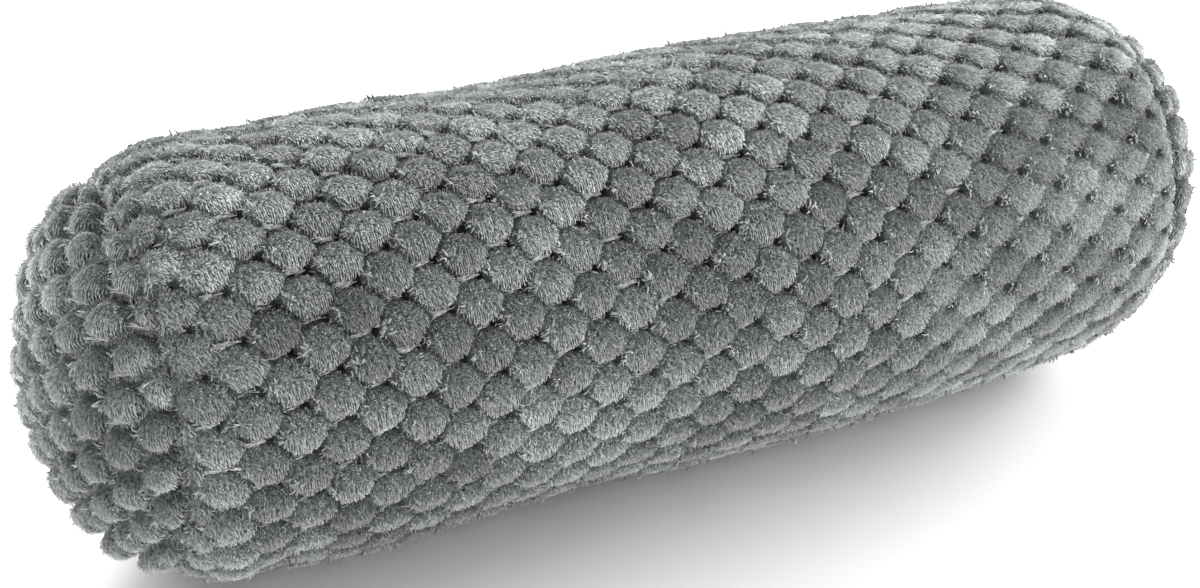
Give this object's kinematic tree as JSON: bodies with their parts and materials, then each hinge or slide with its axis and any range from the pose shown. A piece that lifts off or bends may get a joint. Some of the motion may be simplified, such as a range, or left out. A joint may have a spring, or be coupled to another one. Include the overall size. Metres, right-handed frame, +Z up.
{
  "type": "neck roll pillow",
  "caption": "Long round roll pillow of carved plush with raised oval pads, a gently barrelled filled side and two domed end panels sewn in round their rims.",
  "frame": {"origin": "middle of the flat on which the roll lies, at the bottom centre of its box", "axes": "+X along the roll towards the right end, -Y towards the front, +Z up"},
  "size_m": [0.4999, 0.1678, 0.1654],
  "materials": {
    "side_plush": "short plush pile, carved in oval pads, matt with a soft sheen",
    "end_plush": "the same plush, brushed lighter on the ends"
  },
  "bodies": {
    "root": {"filled_side_panel": "side_plush", "end_panel_left": "end_plush", "end_panel_right": "end_plush"}
  },
  "joints": []
}
